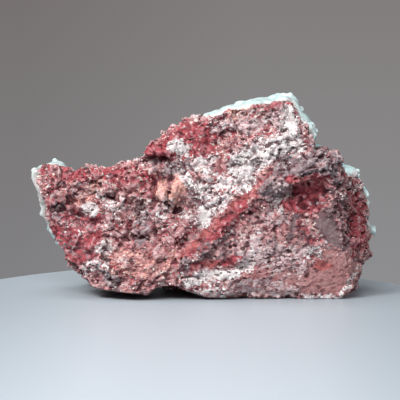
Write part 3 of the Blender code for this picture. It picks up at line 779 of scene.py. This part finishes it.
def add_node(tree, kind, values=None, **settings):
    """Adds a node with these properties, and links or fills the inputs that values names."""
    item = tree.nodes.new(kind)
    for key, value in settings.items():
        setattr(item, key, value)
    for key, value in (values or {}).items():
        socket = item.inputs[key]
        if isinstance(value, bpy.types.NodeSocket):
            tree.links.new(value, socket)
        elif socket.type == "RGBA":
            socket.default_value = (*value, 1.0)
        else:
            socket.default_value = value
    return item


def output_of(tree, kind, values=None, **settings):
    """Adds a node and returns its first output."""
    return add_node(tree, kind, values, **settings).outputs[0]


def arithmetic(tree, operation, *terms):
    return output_of(tree, "ShaderNodeMath", dict(enumerate(terms)), operation=operation)


def remap(tree, value, low, high, to_low=0.0, to_high=1.0):
    """Maps a value from one range to another, held within it."""
    ranges = {"Value": value, "From Min": low, "From Max": high, "To Min": to_low, "To Max": to_high}
    return output_of(tree, "ShaderNodeMapRange", ranges, clamp=True)


def mix_colour(tree, share, first, second, blend="MIX"):
    """Mixes two colours, each a socket or a fixed colour, and returns the result's socket."""
    values = {0: share, 6: first, 7: second}
    return add_node(tree, "ShaderNodeMix", values, data_type="RGBA", blend_type=blend).outputs[2]


# ---------------------------------------------------------------- scattered stones


def random_vector(tree, seed, least, most):
    """A draw for each stone. Stones are told apart by the point that they stand on."""
    values = {0: least, 1: most, "Seed": seed}
    return output_of(tree, "FunctionNodeRandomValue", values, data_type="FLOAT_VECTOR")


def scale_of_stones(tree, given):
    """Each stone's own uneven, squashed size. Large ones are rare."""
    seed = given["Seed"]
    luck = add_node(tree, "FunctionNodeRandomValue", {"Seed": seed}, data_type="FLOAT").outputs[1]
    rarely = arithmetic(tree, "POWER", luck, STONE_RARITY)
    size = remap(tree, rarely, 0.0, 1.0, given["Smallest"], given["Largest"])
    uneven = random_vector(tree, seed, *((bound,) * 3 for bound in UNEVEN))
    flat = output_of(tree, "ShaderNodeCombineXYZ", {"X": 1.0, "Y": 1.0, "Z": given["Flatness"]})
    shaped = output_of(tree, "ShaderNodeVectorMath", {0: uneven, 1: flat}, operation="MULTIPLY")
    return output_of(tree, "ShaderNodeVectorMath", {0: shaped, "Scale": size}, operation="SCALE")


def scatter_tree(name, keep_surface, detail):
    """Scatters squashed stones over a surface, more where its cover attribute is high."""
    inputs = {
        "Surface": "Geometry", "Spacing": "Float", "Smallest": "Float", "Largest": "Float",
        "Flatness": "Float", "Sinking": "Float", "Seed": "Int", "Material": "Material",
    }
    tree, given, result = new_group("GeometryNodeTree", name, inputs, {"Geometry": "Geometry"})
    seed = given["Seed"]
    cover = output_of(tree, "GeometryNodeInputNamedAttribute", {"Name": "grain_cover"}, data_type="FLOAT")
    places = add_node(tree, "GeometryNodeDistributePointsOnFaces", {
        "Mesh": given["Surface"], "Distance Min": given["Spacing"], "Density Max": DENSEST,
        "Density Factor": cover, "Seed": seed,
    }, distribute_method="POISSON").outputs
    tone = random_vector(tree, seed, (0.0,) * 3, (1.0,) * 3)
    toned = output_of(tree, "GeometryNodeStoreNamedAttribute", {
        "Geometry": places["Points"], "Name": "tone", "Value": tone,
    }, data_type="FLOAT_VECTOR", domain="POINT")

    stone = output_of(tree, "GeometryNodeMeshIcoSphere", {"Radius": 1.0, "Subdivisions": detail})
    made = output_of(tree, "GeometryNodeInstanceOnPoints", {
        "Points": toned, "Instance": stone,
        "Rotation": places["Rotation"], "Scale": scale_of_stones(tree, given),
    })
    turn = random_vector(tree, 0, (0.0,) * 3, TURN)
    made = output_of(tree, "GeometryNodeRotateInstances", {"Instances": made, "Rotation": turn})
    sink = output_of(tree, "ShaderNodeCombineXYZ", {"Z": given["Sinking"]})
    made = output_of(tree, "GeometryNodeTranslateInstances", {"Instances": made, "Translation": sink})
    made = output_of(tree, "GeometryNodeRealizeInstances", {"Geometry": made})
    if keep_surface:
        both = add_node(tree, "GeometryNodeJoinGeometry", {"Geometry": given["Surface"]})
        tree.links.new(made, both.inputs["Geometry"])
        made = both.outputs["Geometry"]
    made = output_of(tree, "GeometryNodeSetMaterial", {"Geometry": made, "Material": given["Material"]})
    tree.links.new(made, result["Geometry"])
    return tree


def scatter(obj, tree, material, spacing, radius, flatness, sinking, seed):
    """Runs a scatter tree on an object, and returns the mesh it makes."""
    values = {
        "Spacing": spacing * MM, "Smallest": radius[0] * MM, "Largest": radius[1] * MM,
        "Flatness": flatness, "Sinking": sinking * MM, "Seed": seed, "Material": material,
    }
    modifier = obj.modifiers.new(tree.name, "NODES")
    modifier.node_group = tree
    for item in tree.interface.items_tree:
        if item.in_out == "INPUT" and item.name in values:
            modifier[item.identifier] = values[item.name]
    return evaluated_mesh(obj)


def grow_grains(rock, material):
    """Angular mineral grains, a node-scattered crop of them over the rough faces."""
    tree = scatter_tree("mineral_grain_scatter", keep_surface=False, detail=1)
    return new_object("mineral_grains", scatter(rock, tree, material, **GRAINS))


# ---------------------------------------------------------------- crust


def drift_on_top(points, tree):
    """Pushes the crust about sideways where it lies on top of the matrix, so its edge wanders."""
    under = np.array([tree.find_nearest(Vector(p))[1][:] for p in points])
    push = warped(points, *CRUST_DRIFT, FIELD["drift"]) - points
    push -= (push * under).sum(axis=1)[:, None] * under
    share = smoothstep(*DRIFT_LEAN, under[:, 2]) * smoothstep(*DRIFT_SPAN, points[:, 0])
    return share[:, None] * push


def swell(crust, matrix_tree):
    """Raises the crust into lobes, seats it on the matrix, and marks where beads may grow."""
    points, normals = points_of(crust), normals_of(crust)
    inner, away = against(points, normals, matrix_tree)
    outer = smoothstep(*CLEAR_GAP, away) * (1.0 - inner)
    knobby = smoothstep(*KNOBBY_LEAN, normals[:, 1])
    rise = SEATING * inner
    warp = warped(points, *LOBE_WARP, FIELD["lobe warp"])
    for index, (size, height) in enumerate(CRUST_LOBES):
        middle = cells(warp, size, FIELD["lobes"] + index)[0]
        dome = np.sqrt(np.clip(1.0 - (middle / LOBE_SPAN) ** 2, 0.0, 1.0))
        rise += height * (dome - LOBE_LEVEL) * outer * (RIM_CALM + (1.0 - RIM_CALM) * knobby)
    beaded = outer * knobby * smoothstep(*BEADED_LEAN, normals[:, 2])
    rise -= BEAD_ROOM * beaded
    drift = drift_on_top(points, matrix_tree)
    set_points(crust, points + rise[:, None] * normals + drift + rim_shift(points, "crust"))
    set_attributes(crust, grain_cover=beaded)


def tint_crust(crust, points, matrix_tree):
    """Stores where the crust stands high, is blue or stained, and faces up, for its material, which paints
    shade on the top and partly on the right flank and the left rim.
    """
    height = np.array([matrix_tree.find_nearest(Vector(p))[3] for p in points])
    span, passes = CRUST_RELIEF
    x, y, _ = points.T
    # Where the crust faces up, its material darkens the top with painted shade.
    upward = smoothstep(0.2, 0.9, mean_of_neighbours(crust, normals_of(crust)[:, 2], 12))
    # Bluer to the back, where the crust is thick, and to the right, where the blue-green is partly painted
    # shade on the flank; less blue where it faces up on the left.
    blue = 0.85 * smoothstep(0.0, 14.0, y) + 0.25 * smoothstep(20.0, 45.0, x)
    blue *= 1.0 - 0.75 * upward * smoothstep(30.0, 18.0, x)
    # The left rim at the front is greyed: partly rock showing through, partly painted shade on a rim that
    # faces the light.
    stained = 0.6 * smoothstep(-48.0, -58.0, x) * smoothstep(6.0, -4.0, y)
    set_attributes(
        crust,
        relief=np.clip((height - mean_of_neighbours(crust, height, passes)) / span, -1.0, 1.0),
        blue=np.clip(blue, 0.0, 1.0),
        stained=np.maximum(stained, smoothstep(1.6, 0.6, height) * smoothstep(8.0, 0.0, y)),
        upward=upward,
    )


def sculpt_crust(node, matrix_tree, material):
    """Swells the crust into lobes and beads, fuses them, and seats the crust on the matrix."""
    crust = fine_copy(node, "botryoidal_crust", CRUST_VOXEL)
    swell(crust, matrix_tree)
    tree = scatter_tree("crust_bead_scatter", keep_surface=True, detail=2)
    crust.data = scatter(crust, tree, material, **BEADS)
    voxel_remesh(crust, CRUST_VOXEL)
    soften(crust, BEAD_SMOOTHING)
    hidden = against(points_of(crust), normals_of(crust), matrix_tree)[0]
    thin_hidden(crust, hidden, CRUST_TRIANGLES)
    tint_crust(crust, points_of(crust), matrix_tree)
    crust.data.shade_smooth()
    return crust


# ---------------------------------------------------------------- materials

# The mosaic of grains in the rock: cell sizes, how dark the seams of each are, and specks of painted
# shade for tiny pits, as spacing and largest reach. The bedding turns and stretches it, and noise bends it.
MOSAIC_SIZES = (0.7, 2.0)
MOSAIC_SEAMS = (0.3, 0.3)
PIT_SHADE_SPECKS = ((1.3, 0.42), (2.2, 0.40), (3.7, 0.30))
BEDDING_TURN = (0.0, 0.5, 0.0)
BEDDING_STRETCH = (0.62, 1.0, 1.0)
BEDDING_BEND = 1.1

ROCK_RED = (0.300, 0.093, 0.100)
ROCK_PINK = (0.600, 0.338, 0.330)
PALE_CRYSTAL = (0.640, 0.560, 0.500)
DARK_CRYSTAL = (0.150, 0.050, 0.060)
PALE_PINK = (0.520, 0.380, 0.365)
# Deep red for the seams between grains, and for the painted shade in low places.
DEEP_RED = (0.130, 0.030, 0.042)
PAINTED_HOLLOW_SHADE = (0.062, 0.014, 0.019)
DUST_AND_HIGHLIGHT = (0.760, 0.600, 0.620)

# Each mineral's colour, and how solidly it fills its stain where that differs from the rest.
# A grain's shade runs from the darker to the lighter share of its colour.
MINERAL_COLOURS = {
    "crimson": (0.385, 0.052, 0.066),
    "grey": (0.222, 0.192, 0.205),
    "mauve": (0.118, 0.081, 0.089),
    "pink": (0.345, 0.160, 0.154),
    "orange": (0.820, 0.390, 0.315),
    "white": (0.800, 0.745, 0.735),
    "vein": (0.400, 0.095, 0.090),
    "pale": (0.600, 0.470, 0.475),
}
MINERAL_GAIN = {"vein": 1.35, "white": 1.35, "orange": 1.3, "grey": 1.3, "crimson": 1.3, "pink": 1.3}
PLAIN_GAIN = 1.15
SHADES = (0.55, 1.36)

MILKY = (0.580, 0.675, 0.665)
BLUE_GREEN = (0.330, 0.610, 0.630)
CHALK = (0.66, 0.72, 0.71)
FROST = (0.70, 0.76, 0.75)
CRUST_STAIN_AND_SHADE = (0.370, 0.315, 0.308)
TOP_PAINTED_SHADE = (0.66, 0.69, 0.70)


def use_group(tree, group, values):
    return add_node(tree, "ShaderNodeGroup", values, node_tree=group).outputs


def attribute_value(tree, name):
    return add_node(tree, "ShaderNodeAttribute", attribute_name=name).outputs["Fac"]


def object_place(tree):
    return add_node(tree, "ShaderNodeTexCoord").outputs["Object"]


def new_material(name, **settings):
    """A material with a Principled shader whose plain sockets are set by label."""
    material = bpy.data.materials.new(name)
    material.use_nodes = True
    shader = material.node_tree.nodes["Principled BSDF"]
    for label, value in settings.items():
        shader.inputs[label.replace("_", " ")].default_value = value
    return material, material.node_tree, shader.inputs


def add_bump(tree, surface, height, strength, distance):
    """Tilts a material's normals by a height, whose unit is this distance."""
    values = {"Strength": strength, "Distance": distance * MM, "Height": height}
    tree.links.new(output_of(tree, "ShaderNodeBump", values), surface["Normal"])


def mineral_mix_group():
    """Picks a mineral's colour for each grain from the stains and the grain's own draw."""
    inputs = {"Draw": "Color", "Drift": "Float"}
    group, given, result = new_group("ShaderNodeTree", "mineral_mix", inputs, {"Color": "Color"})
    split = add_node(group, "ShaderNodeSeparateColor", {"Color": given["Draw"]})
    red, green, blue = split.outputs[:3]
    colour = mix_colour(group, red, ROCK_RED, ROCK_PINK)
    colour = mix_colour(group, remap(group, green, 0.90, 0.93), colour, PALE_CRYSTAL)
    colour = mix_colour(group, remap(group, blue, 0.86, 0.89), colour, DARK_CRYSTAL)
    sums = [arithmetic(group, "ADD", *pair) for pair in ((red, green), (green, blue), (red, blue))]
    draws = [green, blue, red, *(arithmetic(group, "FRACT", total) for total in sums)]
    draws.extend(arithmetic(group, "SUBTRACT", 1.0, draw) for draw in (green, blue))
    for draw, (layer, tint) in zip(draws, MINERAL_COLOURS.items()):
        dark, light = (tuple(min(1.0, share * c) for c in tint) for share in SHADES)
        shade = mix_colour(group, given["Drift"], dark, light)
        gain = MINERAL_GAIN.get(layer, PLAIN_GAIN)
        strength = arithmetic(group, "MULTIPLY", attribute_value(group, layer), gain)
        reach = arithmetic(group, "SUBTRACT", strength, draw)
        colour = mix_colour(group, remap(group, reach, 0.0, 0.10), colour, shade)
    group.links.new(colour, result["Color"])
    return group


def fine_grain_group():
    """Fine noise shared by the rock and the crust: a value for colour and a height for bumps."""
    outputs = {"Value": "Float", "Height": "Float"}
    group, given, result = new_group("ShaderNodeTree", "fine_grain", {"Grain Size": "Float"}, outputs)
    scale = arithmetic(group, "DIVIDE", 1.0 / MM, given["Grain Size"])
    fine = output_of(group, "ShaderNodeTexNoise", {
        "Vector": object_place(group), "Scale": scale, "Detail": 3.0, "Roughness": 0.65,
    })
    group.links.new(remap(group, fine, 0.3, 0.7), result["Value"])
    group.links.new(fine, result["Height"])
    return group


def cells_of(tree, place, size):
    return add_node(tree, "ShaderNodeTexVoronoi", {"Vector": place, "Scale": 1.0 / (size * MM)}).outputs


def pit_shade_specks_of(tree, place, spacing, largest):
    """Specks of painted shade for tiny pits, of uneven size, from 0 outside them to 1 inside."""
    dots = cells_of(tree, place, spacing)
    luck = output_of(tree, "ShaderNodeSeparateColor", {"Color": dots["Color"]})
    reach = remap(tree, luck, 0.25, 1.0, 0.0, largest)
    return remap(tree, arithmetic(tree, "SUBTRACT", reach, dots["Distance"]), 0.0, 0.07)


def bedded_place(tree):
    """Object coordinates, drawn out along the bedding of the rock and bent by noise."""
    place = object_place(tree)
    bed = output_of(tree, "ShaderNodeMapping", {
        "Vector": place, "Rotation": BEDDING_TURN, "Scale": BEDDING_STRETCH,
    })
    bend = add_node(tree, "ShaderNodeTexNoise", {"Vector": place, "Scale": 900.0, "Detail": 2.0})
    return mix_colour(tree, BEDDING_BEND * MM, bed, bend.outputs["Color"], "ADD")


def seams_and_painted_light(tree, colour, mosaics, coarse):
    """Reddens the seams between grains, paints shade into the low places, hollows and pits of the rock, and
    lightens what stands high with dust and a painted highlight.
    """
    for mosaic, seam in zip(mosaics, MOSAIC_SEAMS):
        dark = remap(tree, mosaic["Distance"], 0.36, 0.66, 0.0, seam)
        colour = mix_colour(tree, arithmetic(tree, "MULTIPLY", dark, coarse), colour, DEEP_RED)
    relief = attribute_value(tree, "relief")
    # A painted highlight, partly dust, on what stands high, and painted shade in the low places.
    colour = mix_colour(tree, remap(tree, relief, 0.1, 0.9, 0.0, 0.35), colour, DUST_AND_HIGHLIGHT)
    colour = mix_colour(tree, remap(tree, relief, -0.1, -0.8, 0.0, 0.75), colour, DEEP_RED)
    # Painted shade, near black, in the hollows and pits.
    hollow = remap(tree, attribute_value(tree, "hollow"), 0.25, 1.0, 0.0, 0.85)
    return mix_colour(tree, hollow, colour, PAINTED_HOLLOW_SHADE)


def matrix_material(mineral_mix, fine_grain):
    """Iron-stained rock: a mosaic of mineral grains, with painted shade in its pits and hollows and a painted
    highlight, partly dust, on its knobs.
    """
    material, tree, surface = new_material("iron_stained_matrix", Roughness=0.88, Specular_IOR_Level=0.3)
    place = bedded_place(tree)
    mosaics = [cells_of(tree, place, size) for size in MOSAIC_SIZES]
    draws = [mosaic["Color"] for mosaic in mosaics]
    spread = add_node(tree, "ShaderNodeMapRange", {
        6: mix_colour(tree, 0.38, *draws), 7: (0.16,) * 3, 8: (0.84,) * 3,
    }, data_type="FLOAT_VECTOR", clamp=True)
    grain = use_group(tree, fine_grain, {"Grain Size": 0.6})
    colour = use_group(tree, mineral_mix, {"Draw": spread.outputs[1], "Drift": grain["Value"]})["Color"]

    smooth = attribute_value(tree, "smooth")
    coarse = remap(tree, smooth, 0.2, 0.9, 1.0, 0.3)
    mottle = use_group(tree, fine_grain, {"Grain Size": 4.0})
    pale = arithmetic(tree, "MULTIPLY", mottle["Value"], remap(tree, smooth, 0.1, 0.8, 0.1, 0.25))
    colour = seams_and_painted_light(tree, mix_colour(tree, pale, colour, PALE_PINK), mosaics, coarse)
    # Painted shade in tiny pits, which the bump below also dents.
    specks = [pit_shade_specks_of(tree, place, *speck) for speck in PIT_SHADE_SPECKS]
    most = arithmetic(tree, "MAXIMUM", specks[0], arithmetic(tree, "MAXIMUM", *specks[1:]))
    dark = arithmetic(tree, "MULTIPLY", most, coarse)
    colour = mix_colour(tree, arithmetic(tree, "MULTIPLY", dark, 0.85), colour, PAINTED_HOLLOW_SHADE)
    tree.links.new(colour, surface["Base Color"])

    step = arithmetic(tree, "MULTIPLY", mix_colour(tree, 0.4, *draws), 0.9)
    height = arithmetic(tree, "ADD", step, arithmetic(tree, "MULTIPLY", grain["Height"], 1.6))
    height = arithmetic(tree, "MULTIPLY", arithmetic(tree, "SUBTRACT", height, dark), coarse)
    add_bump(tree, surface, height, strength=0.9, distance=0.5)
    return material


def grain_material(mineral_mix, fine_grain):
    """Loose grains of the same minerals, each in one colour of its own."""
    material, tree, surface = new_material("mineral_grains", Roughness=0.8, Specular_IOR_Level=0.4)
    tone = add_node(tree, "ShaderNodeAttribute", attribute_name="tone").outputs["Color"]
    grain = use_group(tree, fine_grain, {"Grain Size": 0.9})
    minerals = use_group(tree, mineral_mix, {"Draw": tone, "Drift": grain["Value"]})
    tree.links.new(minerals["Color"], surface["Base Color"])
    return material


def crust_material(fine_grain):
    """Waxy hemimorphite, milky where it is thin and bluer in its thick lobes and to the right, where the blue
    is partly painted shade; its top is darkened by painted shade.
    """
    material, tree, surface = new_material(
        "hemimorphite", Roughness=0.36, IOR=1.61, Subsurface_Weight=0.3, Subsurface_Scale=0.003,
        Subsurface_Radius=(0.55, 1.0, 0.95), Coat_Weight=0.15, Coat_Roughness=0.2,
    )
    place = object_place(tree)
    cloud = output_of(tree, "ShaderNodeTexNoise", {"Vector": place, "Scale": 90.0, "Detail": 2.0})
    # The blue deepens the colour to the back and the right; on the right flank it is partly painted shade.
    depth = arithmetic(tree, "ADD", attribute_value(tree, "blue"), remap(tree, cloud, 0.3, 0.7, -0.3, 0.3))
    colour = mix_colour(tree, depth, MILKY, BLUE_GREEN)
    high = remap(tree, attribute_value(tree, "relief"), -0.5, 0.5)
    colour = mix_colour(tree, high, mix_colour(tree, 0.35, colour, CHALK), colour)
    # Stain where the crust is thin over the rock, and on the left rim partly painted shade.
    stained = arithmetic(tree, "MULTIPLY", attribute_value(tree, "stained"), 0.85)
    colour = mix_colour(tree, stained, colour, CRUST_STAIN_AND_SHADE)
    grain = use_group(tree, fine_grain, {"Grain Size": 0.35})
    colour = mix_colour(tree, remap(tree, grain["Value"], 0.6, 1.0, 0.0, 0.3), colour, FROST)
    # Painted shade darkens the top of the crust, where it faces up.
    colour = mix_colour(tree, attribute_value(tree, "upward"), colour, TOP_PAINTED_SHADE, "MULTIPLY")
    tree.links.new(colour, surface["Base Color"])
    add_bump(tree, surface, grain["Height"], strength=0.35, distance=0.12)
    return material


# ---------------------------------------------------------------- studio, in metres

# The table top is an oval slab. Its far edge passes close behind the specimen.
TABLE_RADIUS = 0.30
TABLE_NARROWING = 0.48
TABLE_THICKNESS = 0.02
TABLE_MIDDLE = (-0.008, -0.221)
TABLE_EDGE = 0.003
TABLE_COLOUR = (0.335, 0.373, 0.411)
TABLE_SIDE_SHADE = (0.250, 0.284, 0.318)

WALL_COLOUR = (0.222, 0.207, 0.203)
LOW_WALL_COLOUR = (0.270, 0.270, 0.280)
LEFT_WALL_SHADE = (0.82, 0.81, 0.81)
ROOM_LIGHT = 0.16
ROOM_LIGHT_COLOUR = (0.95, 0.97, 1.0)

# Square area lights, each with its place, size, power in watts and colour.
LIGHTS = {
    "window": ((-0.50, -0.50, 0.68), 0.30, 11.4, (1.0, 0.99, 0.97)),
    "front": ((-0.10, -0.82, 0.68), 0.45, 9.4, (0.99, 0.99, 1.0)),
    "side": ((0.70, 0.35, 0.16), 0.50, 2.6, (0.97, 0.99, 1.0)),
    "ceiling": ((-0.20, 0.06, 0.85), 0.50, 4.2, (0.97, 0.99, 1.0)),
}
LIGHT_TARGET = Vector((0.0, 0.0, 0.035))

# The camera's view is this wide where the specimen stands.
CAMERA_TARGET = Vector((-0.0012, 0.0, 0.035))
CAMERA_DISTANCE = 0.9
CAMERA_ELEVATION = math.radians(6.0)
VIEW_WIDTH = 0.1514


def table_material():
    """A pale blue-grey top, with painted shade that dims it a little to the left and the right of the
    specimen.
    """
    material, tree, surface = new_material("pale_table", Roughness=0.4)
    axes = add_node(tree, "ShaderNodeSeparateXYZ", {0: object_place(tree)})
    aside = remap(tree, arithmetic(tree, "ABSOLUTE", axes.outputs["X"]), 0.035, 0.085)
    tree.links.new(mix_colour(tree, aside, TABLE_COLOUR, TABLE_SIDE_SHADE), surface["Base Color"])
    return material


def build_table():
    """An oval pale table top with a rounded edge."""
    bm = bmesh.new()
    bmesh.ops.create_cone(
        bm, cap_ends=True, segments=256, radius1=TABLE_RADIUS, radius2=TABLE_RADIUS, depth=TABLE_THICKNESS,
    )
    bmesh.ops.scale(bm, vec=(TABLE_NARROWING, 1.0, 1.0), verts=bm.verts)
    bmesh.ops.translate(bm, vec=(*TABLE_MIDDLE, -TABLE_THICKNESS / 2.0), verts=bm.verts)
    rim = [edge for edge in bm.edges if len({round(v.co.z, 4) for v in edge.verts}) == 1]
    bmesh.ops.bevel(bm, geom=rim, offset=TABLE_EDGE, segments=4, profile=0.5, affect="EDGES")
    mesh = bpy.data.meshes.new("table_top")
    bm.to_mesh(mesh)
    bm.free()
    mesh.shade_smooth()
    mesh.set_sharp_from_angle(angle=math.radians(40.0))
    mesh.materials.append(table_material())
    new_object("table_top", mesh)


def soft_light(name, place, size, power, colour):
    """A square area light that looks at the middle of the specimen."""
    light = bpy.data.lights.new(name, "AREA")
    light.shape = "SQUARE"
    light.size = size
    light.energy = power
    light.color = colour
    obj = new_object(name, light)
    obj.location = place
    obj.rotation_euler = (LIGHT_TARGET - Vector(place)).to_track_quat("-Z", "Y").to_euler()


def paint_room(tree):
    """A warm grey room, a little paler and cooler low down, whose light is dimmer than its look."""
    look = tree.nodes["Background"]
    generated = add_node(tree, "ShaderNodeTexCoord").outputs["Generated"]
    ray = add_node(tree, "ShaderNodeSeparateXYZ", {0: generated}).outputs
    wall = mix_colour(tree, remap(tree, ray["Z"], -0.02, -0.14), WALL_COLOUR, LOW_WALL_COLOUR)
    shade = mix_colour(tree, remap(tree, ray["X"], -0.075, 0.02), LEFT_WALL_SHADE, (1.0, 1.0, 1.0))
    tree.links.new(mix_colour(tree, 1.0, wall, shade, "MULTIPLY"), look.inputs["Color"])
    dim = output_of(tree, "ShaderNodeBackground", {"Color": ROOM_LIGHT_COLOUR, "Strength": ROOM_LIGHT})
    seen = add_node(tree, "ShaderNodeLightPath").outputs["Is Camera Ray"]
    both = output_of(tree, "ShaderNodeMixShader", {0: seen, 1: dim, 2: look.outputs[0]})
    tree.links.new(both, tree.nodes["World Output"].inputs["Surface"])


def build_studio():
    scene = bpy.context.scene
    scene.view_settings.view_transform = "Standard"
    scene.world = bpy.data.worlds.new("grey_room")
    scene.world.use_nodes = True
    paint_room(scene.world.node_tree)
    for name, light in LIGHTS.items():
        soft_light(name, *light)


def place_camera():
    """Looks at the bare face from the front, a little above the table."""
    camera = bpy.data.cameras.new("camera")
    camera.sensor_width = 36.0
    camera.lens = camera.sensor_width * CAMERA_DISTANCE / VIEW_WIDTH
    towards = Vector((0.0, -math.cos(CAMERA_ELEVATION), math.sin(CAMERA_ELEVATION)))
    obj = new_object("camera", camera)
    obj.location = CAMERA_TARGET + CAMERA_DISTANCE * towards
    obj.rotation_euler = (math.pi / 2.0 - CAMERA_ELEVATION, 0.0, 0.0)
    bpy.context.scene.camera = obj


# ---------------------------------------------------------------- the whole


def dress(obj, material):
    obj.data.materials.clear()
    obj.data.materials.append(material)
    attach(obj, "root")


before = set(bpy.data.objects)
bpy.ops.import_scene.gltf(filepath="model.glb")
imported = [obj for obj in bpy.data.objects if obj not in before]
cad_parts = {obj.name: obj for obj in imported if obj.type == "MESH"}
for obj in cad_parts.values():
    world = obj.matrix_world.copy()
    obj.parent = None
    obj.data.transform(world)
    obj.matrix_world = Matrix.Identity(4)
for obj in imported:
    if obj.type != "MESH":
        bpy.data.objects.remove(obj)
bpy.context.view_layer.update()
place_camera()
build_studio()
build_table()

mineral_mix = mineral_mix_group()
fine_grain = fine_grain_group()
matrix_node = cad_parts["matrix"]
crust_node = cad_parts["hemimorphite_crust"]

rock = sculpt_matrix(matrix_node, tree_of(crust_node))
mineral_grains = grain_material(mineral_mix, fine_grain)
grains = grow_grains(rock, mineral_grains)
hemimorphite = crust_material(fine_grain)
crust = sculpt_crust(crust_node, tree_of(matrix_node), hemimorphite)

dress(rock, matrix_material(mineral_mix, fine_grain))
dress(grains, mineral_grains)
dress(crust, hemimorphite)
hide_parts("matrix")
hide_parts("hemimorphite_crust")
